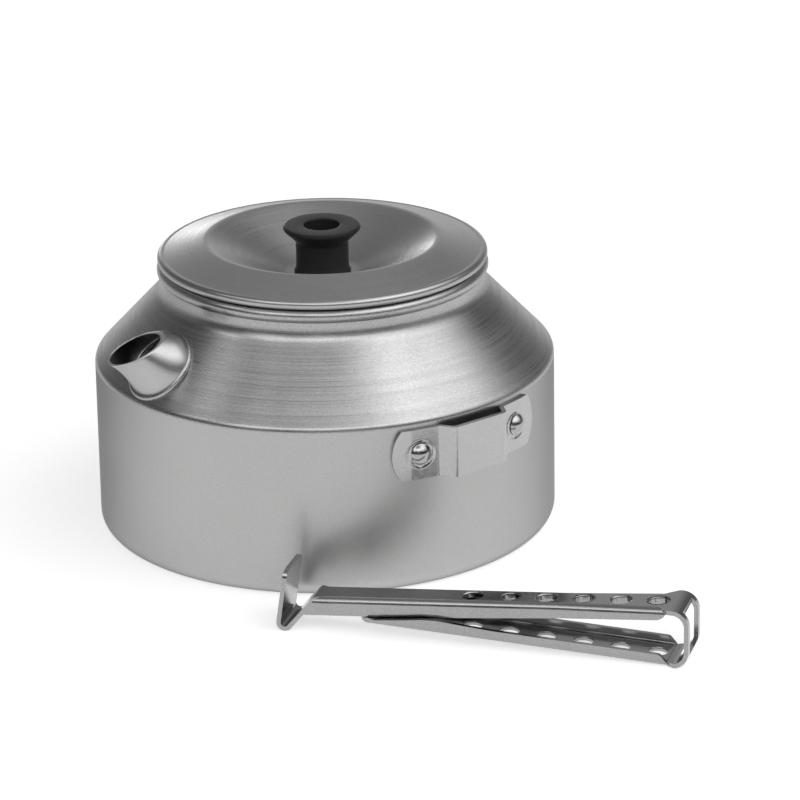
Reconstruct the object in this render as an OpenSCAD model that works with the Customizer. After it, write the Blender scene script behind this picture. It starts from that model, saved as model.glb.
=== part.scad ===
// Camping kettle of spun aluminium with a lift-off lid and a loose pot gripper.
// Millimetres, +Z up. The origin is the centre of the kettle's base, on the floor.
// +X runs to the right of the kettle as it is usually shown, -Y to the front.

/* [Kettle] */
// Outer radius of the side wall
wall_r = 80.2; // [77:0.1:100]
// Height of the shoulder's sharp corner above the floor
shoulder_h = 60.35; // [50:0.05:80]
// Angle of the cone above the horizontal
cone_angle = 46.7; // [40:0.1:55]
// Outer radius of the neck
neck_r = 56.6; // [46:0.1:58]
// Height of the rim roll's centre above the top of the cone
neck_len = 6.6; // [6:0.1:12]
// Thickness of the kettle's sheet
sheet_t = 1.2; // [0.9:0.05:1.5]
// Outer radius of the bend between base and wall
base_bend = 5.0; // [3:0.1:9]
// Outer radius of the shoulder's bend
shoulder_bend = 3.0; // [2:0.1:6]
// Radius of the hollow between cone and neck, outside
neck_bend = 7.0; // [4:0.1:7.5]
// Outer radius of the rolled rim
rim_roll = 2.3; // [2:0.05:2.8]
// How far the roll's centre lies inside the neck's middle line
rim_in = 0.7; // [0.3:0.05:1.1]

/* [Lid] */
// Thickness of the lid's sheet
lid_t = 1.0; // [0.8:0.05:1.2]
// Radius of the ridge around the dish
ridge_r = 40.3; // [34:0.1:42]
// Height of the ridge above the lid's underside at the edge
ridge_rise = 7.4; // [6:0.1:9]
// Height of the folded edge
edge_h = 3.4; // [3.2:0.05:3.8]
// Depth of the dish below the ridge
dish_depth = 13.0; // [8:0.1:14]
// Radius of the dish's flat floor
dish_floor_r = 12.0; // [11.5:0.1:16]
// Depth of the skirt that centres the lid in the mouth
skirt_len = 9.5; // [6:0.1:12]
// Clearance between skirt and rim, on the radius
skirt_clear = 0.7; // [0.4:0.05:1.5]
// Clearance between the lid's edge and the top of the rim
lid_gap = 0.3; // [0.2:0.05:0.6]

/* [Knob] */
// Height of the knob above the dish's floor
knob_h = 17.3; // [14:0.1:22]
// Radius of the knob's stem
knob_r = 9.15; // [8.6:0.05:10.5]
// Radius of the knob's foot
knob_foot_r = 9.85; // [9.3:0.05:11]
// Radius of the knob's flange
knob_flange_r = 13.45; // [12.5:0.05:16]
// Radius of the well in the top of the knob
knob_well_r = 6.2; // [5:0.1:7]
// Depth of the well
knob_well_h = 8.4; // [5:0.1:10]
// Radius of the knob screw's shank
screw_r = 2.0; // [1.5:0.05:2.5]

/* [Spout] */
// Direction of the spout around the kettle
spout_az = 217; // [180:1:270]
// Angle of the spout's axis above the horizontal
spout_lift = 31.5; // [27:0.5:36]
// Distance of the spout's collar up the cone from the shoulder
spout_up = 14.5; // [14.5:0.1:20]
// Middle radius of the collar bead
collar_r = 12.3; // [12:0.05:13]
// Radius of the bead's own round section
collar_bead = 1.1; // [0.8:0.05:1.3]
// Outer radius of the spout's flared foot
spout_foot_r = 12.6; // [12.3:0.05:13]
// Radius that the spout's taper runs towards
spout_tip_r = 5.85; // [5:0.05:6.5]
// Length over which the flare dies out
spout_flare = 11.3; // [10:0.1:13]
// Height of the middle of the mouth above the collar's centre
mouth_rise = 8.6; // [7:0.1:10]
// Angle by which the cut across the mouth falls outward
mouth_fall = 17.1; // [5:0.1:25]
// Thickness of the spout's sheet
spout_t = 0.8; // [0.7:0.05:1.2]

/* [Bracket] */
// Direction of the gripper bracket around the kettle
bracket_az = -52.5; // [-90:0.5:-20]
// Height of the bracket's middle above the floor
bracket_z = 49.3; // [30:0.1:50]
// Height of the bracket's strap
strap_h = 17.8; // [14:0.1:18]
// Thickness of the strap's sheet
strap_t = 1.5; // [1:0.05:2]
// Half width of the raised plate, outside
plate_half = 11.25; // [11:0.05:12]
// Gap between the wall and the raised plate
slot_gap = 3.8; // [3:0.05:5]
// Half of the angle between the two rivets, seen from the kettle's axis
rivet_angle = 14.9; // [14:0.1:17]
// Distance from the bracket's middle to the tip of each ear
ear_tip = 30.4; // [29:0.1:34]
// Radius of the ear's rounded end
ear_end_r = 14.0; // [12:0.1:20]
// Radius of a rivet's shank
rivet_r = 2.2; // [1.5:0.05:2.5]
// Radius of a rivet's domed head
rivet_head_r = 3.75; // [3.2:0.05:4.5]
// Height of a rivet's domed head
rivet_head_h = 2.2; // [1.5:0.05:2.5]

/* [Gripper] */
// Thickness of the gripper's sheet
grip_t = 1.5; // [1.2:0.05:1.8]
// Width of the jaw blade and of the bow
grip_w = 18.0; // [17.2:0.1:20]
// Height of the jaw blade's top above the floor
blade_h = 21.3; // [18:0.1:26]
// Angle by which the blade leans over the jaw
blade_lean = 8.6; // [0:0.1:12]
// Outer radius of the fold under the jaw
fold_r = 2.8; // [2.4:0.05:3.5]
// Angle of the jaw's tongue above the horizontal
tongue_angle = 49.6; // [45:0.1:60]
// Height of the upper arm's top where it leaves the tongue
arm_start_h = 11.5; // [10.5:0.1:12.5]
// Angle by which the upper arm climbs
upper_rise = 4.05; // [3.5:0.05:4.5]
// Outer width of the upper arm's channel
upper_w = 12.0; // [11:0.1:12.5]
// Depth of the upper arm's channel, outside, at the jaw's end
upper_depth = 6.15; // [5.5:0.05:6.15]
// Depth of the upper arm's channel at the bow's end
upper_low_depth = 4.0; // [3.5:0.1:5]
// Distance of the bow's outer face from the jaw's fold
bow_u = 136.9; // [130:0.1:165]
// Outer radius of the bow's two bends
bow_bend = 5.75; // [5:0.05:6.5]
// Width of each strip beside the bow's window
bow_strip = 2.5; // [2:0.1:4]
// Height of the window's lower edge, where the lower arm's bend begins
bow_split = 3.0; // [2.5:0.1:4]
// Angle by which the lower arm climbs towards its nose
lower_rise = 2.72; // [2.4:0.01:2.72]
// Outer width of the lower arm's tray
lower_w = 17.0; // [16:0.1:17.5]
// Distance of the lower arm's nose from the jaw's fold
nose_u = 24.3; // [22:0.1:30]
// Length of the nose's rounded end
nose_len = 6.5; // [4:0.1:9]
// Radius of the punched holes
hole_r = 3.3; // [2.5:0.05:3.4]
// Pitch of the punched holes
hole_pitch = 12.5; // [10:0.1:14]
// Number of punched holes in each arm
hole_count = 6; // [3:1:6]
// Distance of the rearmost hole from the bow's outer face
hole_back = 11.9; // [11:0.1:14]
// Place of the jaw's fold beside the kettle, along X
grip_x = -12.9; // [-40:0.1:20]
// Distance of the jaw's fold in front of the wall
grip_clear = 18.5; // [15.8:0.1:50]
// Direction in which the gripper points, about +Z
grip_yaw = -17; // [-30:0.5:-10]

/* [Hidden] */
$fn = 96;

// Gap left between two pieces of one assembly whose curved faces meet
seat_gap = 0.05;
// Reach of the blocks that trim other shapes, and of the drills that pierce a sheet
far = 400;
drill_len = 20;
// How far a cutting shape reaches past what it cuts
cut_over = 1;

// Kettle: middle lines of the sheet
wall_mid = wall_r - sheet_t / 2;
neck_mid = neck_r - sheet_t / 2;
cone_top_z = cone_z(neck_r);
rim_z = cone_top_z + neck_len;
rim_r = neck_mid - rim_in;
rim_mid = rim_roll - sheet_t / 2;
mouth_r = rim_r - rim_roll;
// The roll starts this far below its side and ends inside the neck
roll_start = -40;
roll_end = 225;
roll_lead_bend = 1;

// Lid: the underside of its edge rests over the rim
lid_z = rim_z + rim_roll + lid_gap;
hem_z = lid_z + lid_t / 2;
lid_edge_out = 0.7;
lid_edge_mid = neck_r + lid_edge_out - lid_t / 2;
skirt_mid = mouth_r - skirt_clear - lid_t / 2;
dish_z = lid_z + ridge_rise - dish_depth;
edge_bend = 1.2;
hem_bend = 0.8;
dish_bend = 9;
ridge_bend = 3;
skirt_bend = 1.2;
// The folded edge stands a little proud of the sloping border
lip_w = 1.9;
lip_rise = 0.25;
lip_bend = 0.6;

// Knob stack: every piece sits on the one below it
bore_clear = 0.2;
knob_top_round = 0.9;
knob_foot_h = 2.0;
knob_foot_round = 0.3;
knob_foot_edge = 0.9;
knob_foot_lip = 0.1;
knob_hollow = 1.6;
well_round = 0.5;
well_z = dish_z + knob_h - knob_well_h;
washer_r = 6.5;
washer_t = 1.0;
nut_flats = 7.0;
nut_h = 3.2;
screw_head_r = 3.8;
screw_head_h = 2.4;
screw_tail = 1.0;
cross_len = 4.2;
cross_w = 0.9;
cross_h = 1.2;
washer_z = dish_z - lid_t - washer_t;
nut_z = washer_z - nut_h;

// Spout: the collar's centre on the cone and the spout's own base point
collar_rho = wall_r - spout_up * cos(cone_angle);
collar_z = cone_z(collar_rho);
collar_sink = 0.1;
spout_shift = 0.3;
spout_root = 5;
flare_lead = 1;
flare_power = 1.6;
mouth_out = 10;
spout_reach = 30;
spout_steps = 24;
pour_hole_r = collar_r - 1.9;

// Bracket: middle line of the strap
ear_mid = wall_r + seat_gap + strap_t / 2;
plate_mid = wall_r + slot_gap + strap_t / 2;
joggle_lean = 0.35;
joggle_in = plate_half - joggle_lean;
joggle_angle = 9.6;
joggle_bend = 2.2;
joggle_lead = 0.95;
ear_angle = 24;
rivet_inner_r = 4.2;
rivet_inner_h = 1.3;
rivet_inner_gap = 0.15;
rivet_bite = 0.3;
ring_groove_r = rivet_head_r + 0.65;
ring_groove = 0.35;

// Gripper: middle line of its sheet, in its own frame, u along and z up
half_t = grip_t / 2;
fold_mid = fold_r - half_t;
blade_dir = [sin(blade_lean), cos(blade_lean)];
tongue_dir = [cos(tongue_angle), sin(tongue_angle)];
upper_dir = [cos(upper_rise), sin(upper_rise)];
lower_dir = [-cos(lower_rise), sin(lower_rise)];
fold_centre = [0, fold_r];
jaw_angle = 90 - blade_lean - tongue_angle;
jaw_middle = (90 - blade_lean + tongue_angle) / 2;
jaw_corner = fold_centre - fold_mid / sin(jaw_angle / 2) * [cos(jaw_middle), sin(jaw_middle)];
tongue_foot = fold_centre + fold_mid * [sin(tongue_angle), -cos(tongue_angle)];
upper_mid_z = arm_start_h - half_t / cos(upper_rise);
arm_corner = tongue_foot + tongue_dir * (upper_mid_z - tongue_foot.y) / tongue_dir.y;
bow_mid_u = bow_u - half_t;
bow_top = arm_corner + upper_dir * (bow_mid_u - arm_corner.x) / upper_dir.x;
bow_sink = 0.3;
bow_foot = [bow_mid_u, half_t - bow_sink];
upper_end_u = bow_u - 7.4;
web_top = arm_corner + half_t * [-upper_dir.y, upper_dir.x];
channel_round = 2.2;
channel_lap = 4;
flare_lap = 0.3;
// The flat strip is kept this much inside a channel's outer face
web_inset = channel_round + 0.4;
tongue_bend = 1.9;
// The channel is parallel, gets lower and flares out, and ends where the bow starts
low_start_u = 45;
flare_start_u = bow_u - 44.5;
flare_end_u = bow_u - 12;
flare_w = 15;
flange_round = 4.5;
flange_toe = 3.2;
// Where the wide jaw starts and ends its change to the narrow web
jaw_end_u = 3.5;
web_start_u = 13;
blade_round = 3;
// Planes that part the upper strip from the lower one
arms_part_z = 9;
jaw_trim_u = 9;
// How far the bow's window reaches in from its inner face
window_in = 0.9;
bow_flare = 2.6;
bow_widen = 1;
// Lower arm: where the bend's full width and the tray's flanges end
bend_start_u = bow_u - 6.8;
bend_lap = 0.5;
bend_taper = 2.2;
tray_end_r = 2.2;
tray_toe = 1.8;
tray_depth = 5.5;
// Tray's flanges, each as distance from the nose's rounded end and height
tray_heights = [[0, 1.9], [8, 3.1], [16, 4.4], [21, 4.8], [30, 4.4], [40, 4.0]];
tray_end_h = 4.0;
// Rims that are turned in round the upper arm's punched holes
rim_drop = 0.5;
rim_wall = 0.9;
hole_round = 0.7;

// Height of the cone's outer face, and of its middle line, at a radius
function cone_z(r) = shoulder_h + (wall_r - r) * tan(cone_angle);
function cone_mid_z(r) = cone_z(r) - sheet_t / 2 / cos(cone_angle);

// Outer radius of the spout at a distance along its axis
function flare(s) = spout_tip_r
    + (spout_foot_r - spout_tip_r) * exp(-pow(max(s + flare_lead, 0) / spout_flare, flare_power));

// Radius of the ball whose cap has a given rim radius and height
function cap_radius(r, h) = (r * r + h * h) / (2 * h);

// Direction and turn at a corner of a path
function leg(p, i) = (p[i + 1] - p[i]) / norm(p[i + 1] - p[i]);
function left_of(d) = [-d.y, d.x];
function bend_turn(p, i) = let (a = leg(p, i - 1), b = leg(p, i)) atan2(a.x * b.y - a.y * b.x, a * b);
function is_end(p, i) = i == 0 || i == len(p) - 1;

// Points of an arc about a centre, in steps that stay close to the true curve
function arc_step(r) = min(9, 2 * acos(1 - 0.02 / max(r, 1)));
function arc_points(c, r, from, to) = let (steps = ceil(abs(to - from) / arc_step(r)))
    [for (i = [0 : steps]) let (a = from + (to - from) * i / steps) c + r * [cos(a), sin(a)]];

// Corners whose bends of radius r make one round stretch about a centre
function round_corners(c, r, from, to, count) = let (part = (to - from) / count, out = r / cos(part / 2))
    [for (i = [0 : count - 1]) let (a = from + part * (i + 0.5)) c + out * [cos(a), sin(a)]];

// One face of a bent sheet: its path moved sideways, with an arc at each corner
function corner_points(p, r, side, i) =
    is_end(p, i) ? [p[i] + side * left_of(leg(p, i == 0 ? 0 : i - 1))] :
    let (turn = bend_turn(p, i), out = -sign(turn) * left_of(leg(p, i - 1)), a = atan2(out.y, out.x),
         c = p[i] - leg(p, i - 1) * r[i] * tan(abs(turn) / 2) - out * r[i])
    arc_points(c, r[i] - sign(turn) * side, a, a + turn);
function face_points(p, r, side) = [for (i = [0 : len(p) - 1]) each corner_points(p, r, side, i)];
function reversed(l) = [for (i = [len(l) - 1 : -1 : 0]) l[i]];
function without_repeats(l) =
    [for (i = [0 : len(l) - 1]) if (i == 0 || norm(l[i] - l[i - 1]) > 1e-6) l[i]];

// Section of a bent sheet of thickness t along a path, with a middle radius at each corner
module sheet_section(p, r, t) polygon(without_repeats(concat(face_points(p, r, t / 2),
                                                             reversed(face_points(p, r, -t / 2)))));

// Drill through a sheet that lies near z = 0
module pierce(r) cylinder(r = r, h = drill_len, center = true);

// Puts a piece that is drawn along +X onto the wall, facing outward at an angle
module around(angle) rotate([0, 0, angle]) children();

// Frame of the spout's collar: its centre on the cone, with +Z along the cone's normal
module at_collar() around(spout_az) translate([collar_rho, 0, collar_z])
    rotate([0, cone_angle, 0]) children();

// Frame of the spout's tube, with +Z along its axis
module at_spout() around(spout_az)
    translate([collar_rho + spout_shift, 0, collar_z + spout_shift])
    rotate([0, 90 - spout_lift, 0]) children();

module collar_ring(r) rotate_extrude() translate([collar_r, -collar_sink]) circle(r);

// Spun shell: base, wall, shoulder, cone, neck and rolled rim, with the bead that holds the spout
module kettle_body() color([0.78, 0.78, 0.77]) {
    roll_p = [rim_r, rim_z] + rim_mid * [cos(roll_start), sin(roll_start)];
    lead_z = roll_p.y - (roll_p.x - neck_mid) * tan(90 + roll_start);
    rim_c = [rim_r, rim_z];
    path = concat([[0, sheet_t / 2], [wall_mid, sheet_t / 2], [wall_mid, cone_mid_z(wall_mid)],
                   [neck_mid, cone_mid_z(neck_mid)], [neck_mid, lead_z]],
                  round_corners(rim_c, rim_mid, roll_start, roll_end, 3),
                  [rim_c + rim_mid * [cos(roll_end), sin(roll_end)]]);
    bends = [0, base_bend - sheet_t / 2, shoulder_bend - sheet_t / 2, neck_bend + sheet_t / 2,
             roll_lead_bend, rim_mid, rim_mid, rim_mid, 0];
    difference() {
        union() {
            rotate_extrude() sheet_section(path, bends, sheet_t);
            at_collar() collar_ring(collar_bead);
        }
        at_collar() pierce(pour_hole_r);
        at_rivets() pierce(rivet_r + seat_gap);
    }
}

// Flared spout: its foot sits in the collar bead, and a slanted cut opens its mouth upward
module spout() color([0.8, 0.8, 0.79]) {
    stations = [for (i = [0 : spout_steps]) (spout_reach + spout_root) * i / spout_steps - spout_root];
    difference() {
        intersection() {
            at_spout() rotate_extrude() difference() {
                polygon(concat([for (s = stations) [flare(s), s]], [[0, spout_reach], [0, stations[0]]]));
                polygon(concat([for (s = stations) [flare(s) - spout_t, s]],
                               [[0, spout_reach + cut_over], [0, stations[0] - cut_over]]));
            }
            at_collar() cylinder(r = collar_r, h = spout_reach);
        }
        at_collar() collar_ring(collar_bead + seat_gap);
        rotate_extrude() translate([0, seat_gap])
            polygon([[0, cone_z(0)], [wall_r + cut_over, cone_z(wall_r + cut_over)], [0, 0]]);
        around(spout_az) translate([collar_rho + mouth_out, 0, collar_z + mouth_rise])
            rotate([0, mouth_fall, 0]) translate([-far / 2, -far / 2, 0]) cube(far);
    }
}

// The two rivets' places on the wall, each with +Z pointing outward
module at_rivets() around(bracket_az) for (side = [-1, 1]) rotate([0, 0, side * rivet_angle])
    translate([wall_r, 0, bracket_z]) rotate([0, 90, 0]) children();

// Hat-shaped strap: two ears on the wall and a raised plate that takes the gripper's blade
module handle_bracket() color([0.74, 0.74, 0.74]) {
    half = concat([[plate_mid, joggle_in], ear_mid * [cos(joggle_angle), sin(joggle_angle)]],
                  round_corners([0, 0], ear_mid, joggle_angle + joggle_lead, ear_angle, 1),
                  [ear_mid * [cos(ear_angle), sin(ear_angle)]]);
    path = concat(reversed([for (p = half) [p.x, -p.y]]), half);
    half_bends = [joggle_bend, joggle_bend, ear_mid, 0];
    difference() {
        intersection() {
            around(bracket_az) translate([0, 0, bracket_z - strap_h / 2]) linear_extrude(strap_h)
                sheet_section(path, concat(reversed(half_bends), half_bends), strap_t);
            around(bracket_az) translate([0, 0, bracket_z]) rotate([90, 0, 90]) linear_extrude(far / 2) {
                square([2 * (ear_tip - ear_end_r), strap_h], center = true);
                for (side = [-1, 1]) translate([side * (ear_tip - ear_end_r), 0]) circle(ear_end_r);
            }
        }
        at_rivets() pierce(rivet_r + seat_gap);
        at_rivets() translate([0, 0, strap_t + seat_gap]) rotate_extrude()
            translate([ring_groove_r, 0]) circle(ring_groove);
    }
}

// Two rivets: domed head outside, shank through strap and wall, flat head inside
module bracket_rivets() color([0.7, 0.7, 0.7]) {
    head_z = strap_t + 2 * seat_gap;
    inner_z = -sheet_t - rivet_inner_gap;
    dome_r = cap_radius(rivet_head_r, rivet_head_h);
    at_rivets() {
        rotate_extrude() intersection() {
            translate([0, head_z + rivet_head_h - dome_r]) circle(dome_r);
            translate([0, head_z]) square([rivet_head_r, rivet_head_h]);
        }
        translate([0, 0, inner_z - rivet_bite])
            cylinder(r = rivet_r, h = head_z - inner_z + 2 * rivet_bite);
        translate([0, 0, inner_z - rivet_inner_h]) cylinder(r = rivet_inner_r, h = rivet_inner_h);
    }
}

// Pressed lid: dish, ridge, sloping border, folded edge and centring skirt in one sheet
module lid_cover() color([0.76, 0.76, 0.76]) {
    path = [[0, dish_z - lid_t / 2], [dish_floor_r, dish_z - lid_t / 2],
            [ridge_r, lid_z + ridge_rise - lid_t / 2],
            [lid_edge_mid - lip_w, lid_z + edge_h - lip_rise - lid_t / 2],
            [lid_edge_mid, lid_z + edge_h - lid_t / 2], [lid_edge_mid, hem_z],
            [skirt_mid, hem_z], [skirt_mid, hem_z - skirt_len]];
    bends = [0, dish_bend, ridge_bend, lip_bend, edge_bend, hem_bend, skirt_bend, 0];
    difference() {
        rotate_extrude() sheet_section(path, bends, lid_t);
        translate([0, 0, dish_z]) pierce(screw_r + bore_clear);
    }
}

// Moulded spool knob with a well for the screw
module lid_knob() color([0.06, 0.06, 0.06]) {
    flange_c = [knob_flange_r - knob_top_round, knob_h - knob_top_round];
    neck_top = flange_c.y - knob_top_round * sin(45) - (flange_c.x + knob_top_round * cos(45) - knob_r);
    foot_c = [knob_foot_r - knob_foot_round, knob_foot_edge];
    hollow_c = [knob_r + knob_hollow, neck_top - knob_hollow * tan(22.5)];
    translate([0, 0, dish_z]) rotate_extrude() difference() {
        polygon(concat([[0, 0], [knob_foot_r, 0]], arc_points(foot_c, knob_foot_round, 0, 60),
                       [[knob_r + knob_foot_lip, knob_foot_h], [knob_r, 2 * knob_foot_h]],
                       arc_points(hollow_c, knob_hollow, 180, 135),
                       arc_points(flange_c, knob_top_round, -45, 90),
                       arc_points([knob_well_r + well_round, knob_h - well_round], well_round, 90, 180),
                       [[0, knob_h - well_round]]));
        translate([0, knob_h - knob_well_h]) square([knob_well_r, knob_well_h]);
        square([screw_r + bore_clear, knob_h]);
    }
}

// Pan-head screw down the middle of the knob, with a cross in its head
module knob_screw() color([0.6, 0.6, 0.62]) {
    shank = well_z - nut_z + screw_tail;
    crown_r = cap_radius(screw_head_r, screw_head_h);
    difference() {
        union() {
            translate([0, 0, well_z - shank]) cylinder(r = screw_r, h = shank + screw_head_h / 2);
            translate([0, 0, well_z]) rotate_extrude() intersection() {
                translate([0, screw_head_h - crown_r]) circle(crown_r);
                square([screw_head_r, screw_head_h]);
            }
        }
        for (turn = [0, 90]) translate([0, 0, well_z + screw_head_h]) rotate([0, 0, turn])
            cube([cross_len, cross_w, 2 * cross_h], center = true);
    }
}

module knob_washer() color([0.65, 0.65, 0.66]) translate([0, 0, washer_z]) difference() {
    cylinder(r = washer_r, h = washer_t);
    pierce(screw_r + bore_clear);
}

module knob_nut() color([0.62, 0.62, 0.63]) translate([0, 0, nut_z]) difference() {
    cylinder(r = nut_flats / sqrt(3), h = nut_h, $fn = 6);
    pierce(screw_r + seat_gap);
}

// Frame of the gripper: u along +X from the jaw, z up, its middle line on y = 0
module at_gripper() translate([grip_x, -wall_r - grip_clear, 0]) rotate([0, 0, grip_yaw]) children();

// Extrudes a section drawn in u and z across a width
module across(w) rotate([90, 0, 0]) translate([0, 0, -w / 2]) linear_extrude(w) children();

// The whole strip from the blade's top to the lower arm's nose, as a section
module grip_strip() {
    blade_top = jaw_corner + blade_dir * (blade_h - jaw_corner.y) / blade_dir.y;
    nose = bow_foot + lower_dir * (bow_mid_u - nose_u) / -lower_dir.x;
    sheet_section([blade_top, jaw_corner, arm_corner, bow_top, bow_foot, nose],
                  [0, fold_mid, tongue_bend, bow_bend - half_t, bow_bend - half_t, 0], grip_t);
}

// Half of a channel's section: web and one rounded flange of a given depth
module half_channel(half_w, depth) {
    sheet_section([[-channel_lap, -half_t], [half_w - half_t, -half_t], [half_w - half_t, -depth]],
                  [0, channel_round - half_t, 0], grip_t);
}

// Extrudes a section that is drawn across and up, along +X
module along(len) rotate([90, 0, 90]) linear_extrude(len) children();

// The upper arm's channel along the web: parallel, then flared out towards the bow
module upper_channel() {
    straight = (flare_start_u - web_top.x) / upper_dir.x;
    flare_angle = atan((flare_w - upper_w) / 2 / (flare_end_u - flare_start_u));
    for (side = [0, 1]) mirror([0, side, 0]) {
        translate([-channel_lap, 0, 0]) along(channel_lap + straight + flare_lap)
            half_channel(upper_w / 2, upper_depth);
        intersection() {
            translate([straight, upper_w / 2, 0]) rotate([0, 0, flare_angle])
                translate([-channel_lap, -upper_w / 2, 0])
                    along(bow_u - flare_start_u) half_channel(upper_w / 2, upper_depth);
            translate([straight, -channel_lap / 2, -far / 2]) cube(far);
        }
    }
}

// Turned-in rim of one punched hole, and the hole itself, with z = 0 on its rounded side
module hole_rim() translate([0, 0, half_t]) cylinder(r = hole_r + rim_wall, h = half_t + rim_drop);
module hole_cut() {
    pierce(hole_r);
    rotate_extrude() difference() {
        square([hole_r + hole_round, hole_round]);
        translate([hole_r + hole_round, hole_round]) circle(hole_round);
    }
}

// Places of the holes along the arms
hole_places = [for (i = [0 : hole_count - 1]) bow_u - hole_back - i * hole_pitch];

module at_upper_holes() for (u = hole_places)
    translate([u, 0, web_top.y + (u - web_top.x) * tan(upper_rise)])
    rotate([180, -upper_rise, 0]) children();

module at_lower_holes() for (u = hole_places)
    translate([u, 0, lower_z(u) + grip_t]) rotate([180, lower_rise, 0]) children();

// Height of the lower arm's underside
function lower_z(u) = bow_foot.y - half_t / cos(lower_rise) + (bow_mid_u - u) * tan(lower_rise);

// Front arm: jaw blade, fold, tongue and the channel that lies on top
module gripper_upper_arm() color([0.5, 0.5, 0.51]) at_gripper() {
    difference() {
        union() {
            // Strip of sheet, trimmed to the blade's, tongue's and web's widths
            intersection() {
                across(grip_w) intersection() {
                    grip_strip();
                    polygon([[-far, -far], [jaw_trim_u, -far], [jaw_trim_u, arms_part_z],
                             [upper_end_u, arms_part_z], [upper_end_u, far], [-far, far]]);
                }
                linear_extrude(far, center = true) upper_plan();
                blade_outline();
            }
            // Rounded flanges, cut to the side outline
            intersection() {
                translate([web_top.x, 0, web_top.y]) rotate([0, -upper_rise, 0]) upper_channel();
                across(far) flange_outline();
            }
            at_upper_holes() hole_rim();
        }
        at_upper_holes() hole_cut();
    }
}

// Outline of the strip seen from above: wide jaw, narrow web, flared end
module upper_plan() {
    half = [[-far, grip_w / 2], [jaw_end_u, grip_w / 2], [web_start_u, upper_w / 2 - web_inset],
            [flare_start_u, upper_w / 2 - web_inset], [flare_end_u, flare_w / 2 - web_inset],
            [upper_end_u, upper_w / 2 + bow_flare]];
    polygon(concat(half, reversed([for (p = half) [p.x, -p.y]])));
}

// Blade seen from the front, with its two top corners rounded
module blade_outline() {
    corner = blade_round;
    rotate([90, 0, 90]) linear_extrude(far, center = true) {
        translate([-grip_w / 2, -far]) square([grip_w, far + blade_h - corner]);
        translate([corner - grip_w / 2, 0]) square([grip_w - 2 * corner, far]);
        for (side = [-1, 1]) translate([side * (grip_w / 2 - corner), blade_h - corner]) circle(corner);
    }
}

// Upper arm's flanges seen from the side: they start at the tongue and end in a rounded toe
module flange_outline() {
    end = upper_end_u;
    lead = tongue_bend * tan((tongue_angle - upper_rise) / 2);
    function web_z(u) = web_top.y + (u - web_top.x) * tan(upper_rise);
    function under_tongue(z) = tongue_foot.x + (z - tongue_foot.y) / tan(tongue_angle);
    foot_z = web_z(under_tongue(web_top.y - upper_depth)) - upper_depth;
    end_z = web_z(end - flange_round) - upper_low_depth;
    polygon(concat([[under_tongue(foot_z) + half_t, foot_z],
                    [low_start_u, web_z(low_start_u) - upper_depth]],
                   arc_points([end - flange_round, end_z + flange_round], flange_round, -90, -30),
                   [[end, end_z + flange_toe], [end, web_z(end) + grip_t],
                    web_top + lead * upper_dir + [0, grip_t], arm_corner - lead * tongue_dir]));
}

// Rear bow: the springy strip between the arms, with a punched window
module gripper_spring_bow() color([0.52, 0.52, 0.53]) at_gripper() {
    intersection() {
        across(grip_w) intersection() {
            grip_strip();
            polygon([[upper_end_u, arms_part_z], [bow_u - bow_bend, bow_split], [far, bow_split],
                     [far, far], [upper_end_u, far]]);
        }
        difference() {
            linear_extrude(far) polygon([
                [upper_end_u, upper_w / 2 + bow_flare], [upper_end_u + bow_widen, grip_w / 2],
                [far, grip_w / 2], [far, -grip_w / 2],
                [upper_end_u + bow_widen, -grip_w / 2], [upper_end_u, -upper_w / 2 - bow_flare]]);
            translate([bow_u - window_in - grip_t, bow_strip - grip_w / 2, -far / 2])
                cube([far, grip_w - 2 * bow_strip, far]);
        }
    }
}

// Rear arm: the bend that rests on the floor, and the tray that the upper arm nests in
module gripper_lower_arm() color([0.5, 0.5, 0.51]) at_gripper() {
    difference() {
        union() {
            intersection() {
                across(grip_w) intersection() {
                    grip_strip();
                    polygon([[bend_start_u - bend_lap, -far], [far, -far], [far, bow_split],
                             [bow_u - bow_bend, bow_split], [bend_start_u - bend_lap, bow_split]]);
                }
                linear_extrude(far, center = true) bend_plan();
            }
            intersection() {
                translate([bow_mid_u, 0, lower_z(bow_mid_u)]) rotate([0, lower_rise, 0])
                    mirror([1, 0, 0]) mirror([0, 0, 1]) for (side = [0, 1]) mirror([0, side, 0])
                        along(bow_u) half_channel(lower_w / 2, tray_depth);
                across(far) tray_outline();
                linear_extrude(far, center = true) tray_plan();
            }
        }
        at_lower_holes() hole_cut();
    }
}

// Bend seen from above: it widens from the tray's flat floor to the strip's full width
module bend_plan() {
    half = [[bend_start_u - bend_lap, (lower_w - channel_round) / 2], [bend_start_u + bend_taper, grip_w / 2],
            [far, grip_w / 2]];
    polygon(concat(half, reversed([for (p = half) [p.x, -p.y]])));
}

// Tray seen from above, with its round nose
module tray_plan() {
    half = lower_w / 2;
    translate([nose_u + nose_len, -half]) square([bend_start_u - nose_u - nose_len, lower_w]);
    intersection() {
        translate([nose_u + half, 0]) circle(half);
        translate([nose_u, -half]) square([half, lower_w]);
    }
}

// Lower arm's flanges seen from the side: low at the nose, ending in a rounded toe at the rear
module tray_outline() {
    start = nose_u + nose_len;
    end = bend_start_u;
    function top(u, h) = [u, lower_z(u) + h];
    polygon(concat([top(nose_u, -half_t), top(nose_u, tray_heights[0][1])],
                   [for (p = tray_heights) top(start + p[0], p[1])],
                   arc_points(top(end - tray_end_r - tray_toe, tray_end_h - tray_end_r), tray_end_r, 90, 30),
                   [top(end, grip_t / 2), top(end, -half_t)]));
}

kettle_body();
spout();
handle_bracket();
bracket_rivets();
lid_cover();
lid_knob();
knob_screw();
knob_washer();
knob_nut();
gripper_upper_arm();
gripper_spring_bow();
gripper_lower_arm();
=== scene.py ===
"""Camping kettle with a lift-off lid and a loose pot gripper: the looks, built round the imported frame.

Sizes are in millimetres in the dataclasses and in metres in Blender. The kettle's axis is +Z.
"""

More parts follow.
